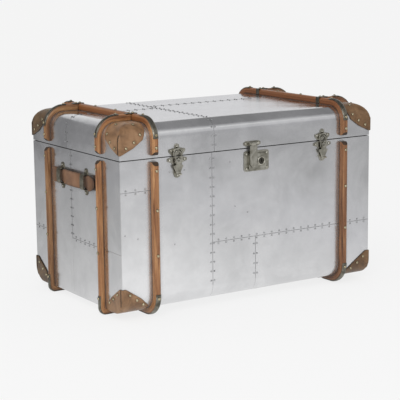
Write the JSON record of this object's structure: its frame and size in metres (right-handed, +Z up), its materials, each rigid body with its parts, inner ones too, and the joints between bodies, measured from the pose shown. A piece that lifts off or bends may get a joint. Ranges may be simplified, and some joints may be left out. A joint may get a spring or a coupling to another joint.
{
  "type": "travelling trunk",
  "caption": "Metal-clad travelling trunk with bent wooden battens, leather corners, draw latches, a keyed hasp lock and strap handles; the lid opens on rear hinges.",
  "frame": {"origin": "on the floor, under the middle of the trunk", "axes": "+X to the right along the length, -Y to the front with the lock, +Z up"},
  "size_m": [0.9402, 0.5978, 0.5876],
  "materials": {
    "aluminium_sheet": "satin polished, hazy",
    "brown_leather": "oiled, worn at the edges",
    "oak_batten": "honey-brown varnish, worn",
    "plywood": "bare",
    "nickel_stud": "bright domed",
    "steel_strap": "dull, browned",
    "lock_brass": "worn",
    "pewter_fitting": "dull grey"
  },
  "bodies": {
    "body": {"body_back_panel": "plywood", "body_back_sheets": "aluminium_sheet", "body_batten_studs": "nickel_stud", "body_bend_straps": "steel_strap", "body_bottom_sheet": "aluminium_sheet", "body_corner_rails": "plywood", "body_end_batten_left_back": "oak_batten", "body_end_batten_left_front": "oak_batten", "body_end_batten_right_back": "oak_batten", "body_end_batten_right_front": "oak_batten", "body_fitting_rivets": "nickel_stud", "body_floor_panel": "plywood", "body_front_panel": "plywood", "body_front_sheets": "aluminium_sheet", "body_hoop_left": "oak_batten", "body_hoop_right": "oak_batten", "body_joint_clips": "steel_strap", "body_leather_corners": "brown_leather", "body_left_panel": "plywood", "body_left_sheets": "aluminium_sheet", "body_right_panel": "plywood", "body_right_sheets": "aluminium_sheet", "handle_brackets": "pewter_fitting", "hinge_body_leaves": "pewter_fitting", "latch_base_plates": "pewter_fitting", "lock_plate": "pewter_fitting"},
    "lid": {"hasp_plate": "pewter_fitting", "hinge_lid_leaves": "pewter_fitting", "latch_keepers": "pewter_fitting", "lid_batten_studs": "nickel_stud", "lid_bend_straps": "steel_strap", "lid_corner_rails": "plywood", "lid_end_batten_left_back": "oak_batten", "lid_end_batten_left_front": "oak_batten", "lid_end_batten_right_back": "oak_batten", "lid_end_batten_right_front": "oak_batten", "lid_fitting_rivets": "nickel_stud", "lid_hoop_left": "oak_batten", "lid_hoop_right": "oak_batten", "lid_joint_clips": "steel_strap", "lid_leather_corners": "brown_leather", "lid_sheets": "aluminium_sheet", "lid_skirt_boards": "plywood", "lid_top_panel": "plywood"},
    "hasp": {"hasp": "pewter_fitting"},
    "key_plug": {"key_plug": "lock_brass"},
    "lock_bolt": {"lock_bolt": "lock_brass"},
    "left_latch_lever": {"left_latch_lever": "pewter_fitting"},
    "left_latch_loop": {"left_latch_loop": "pewter_fitting"},
    "right_latch_lever": {"right_latch_lever": "pewter_fitting"},
    "right_latch_loop": {"right_latch_loop": "pewter_fitting"},
    "left_handle": {"left_handle_strap": "brown_leather"},
    "right_handle": {"right_handle_strap": "brown_leather"}
  },
  "joints": [
    {"name": "lid_hinge", "type": "hinge", "parent": "body", "child": "lid", "pos_m": [0, 0.281, 0.4655], "axis": [-1, 0, 0], "range_deg": [0, 100]},
    {"name": "hasp_hinge", "type": "hinge", "parent": "lid", "child": "hasp", "pos_m": [0, -0.2824, 0.479], "axis": [-1, 0, 0], "range_deg": [0, 140]},
    {"name": "key_turn", "type": "hinge", "parent": "body", "child": "key_plug", "pos_m": [0.0287, -0.28, 0.4255], "axis": [0, -1, 0], "range_deg": [0, 90]},
    {"name": "bolt_slide", "type": "slide", "parent": "body", "child": "lock_bolt", "axis": [-1, 0, 0], "range_m": [0, 0.01104]},
    {"name": "left_latch_lever_hinge", "type": "hinge", "parent": "body", "child": "left_latch_lever", "pos_m": [-0.262, -0.282, 0.4565], "axis": [-1, 0, 0], "range_deg": [0, 110]},
    {"name": "left_latch_loop_hinge", "type": "hinge", "parent": "left_latch_lever", "child": "left_latch_loop", "pos_m": [-0.262, -0.283, 0.4465], "axis": [-1, 0, 0], "range_deg": [-143.5, 0]},
    {"name": "right_latch_lever_hinge", "type": "hinge", "parent": "body", "child": "right_latch_lever", "pos_m": [0.262, -0.282, 0.4565], "axis": [-1, 0, 0], "range_deg": [0, 110]},
    {"name": "right_latch_loop_hinge", "type": "hinge", "parent": "right_latch_lever", "child": "right_latch_loop", "pos_m": [0.262, -0.283, 0.4465], "axis": [-1, 0, 0], "range_deg": [-143.5, 0]},
    {"name": "left_handle_pull", "type": "slide", "parent": "body", "child": "left_handle", "axis": [-1, 0, 0], "range_m": [0, 0.0045]},
    {"name": "right_handle_pull", "type": "slide", "parent": "body", "child": "right_handle", "axis": [1, 0, 0], "range_m": [0, 0.0045]}
  ],
  "couplings": [
    {"joint": "bolt_slide", "follows": "key_turn", "m_per_rad": 0.0070222},
    {"joint": "left_latch_loop_hinge", "follows": "left_latch_lever_hinge", "ratio": -1.3},
    {"joint": "right_latch_loop_hinge", "follows": "right_latch_lever_hinge", "ratio": -1.3}
  ]
}
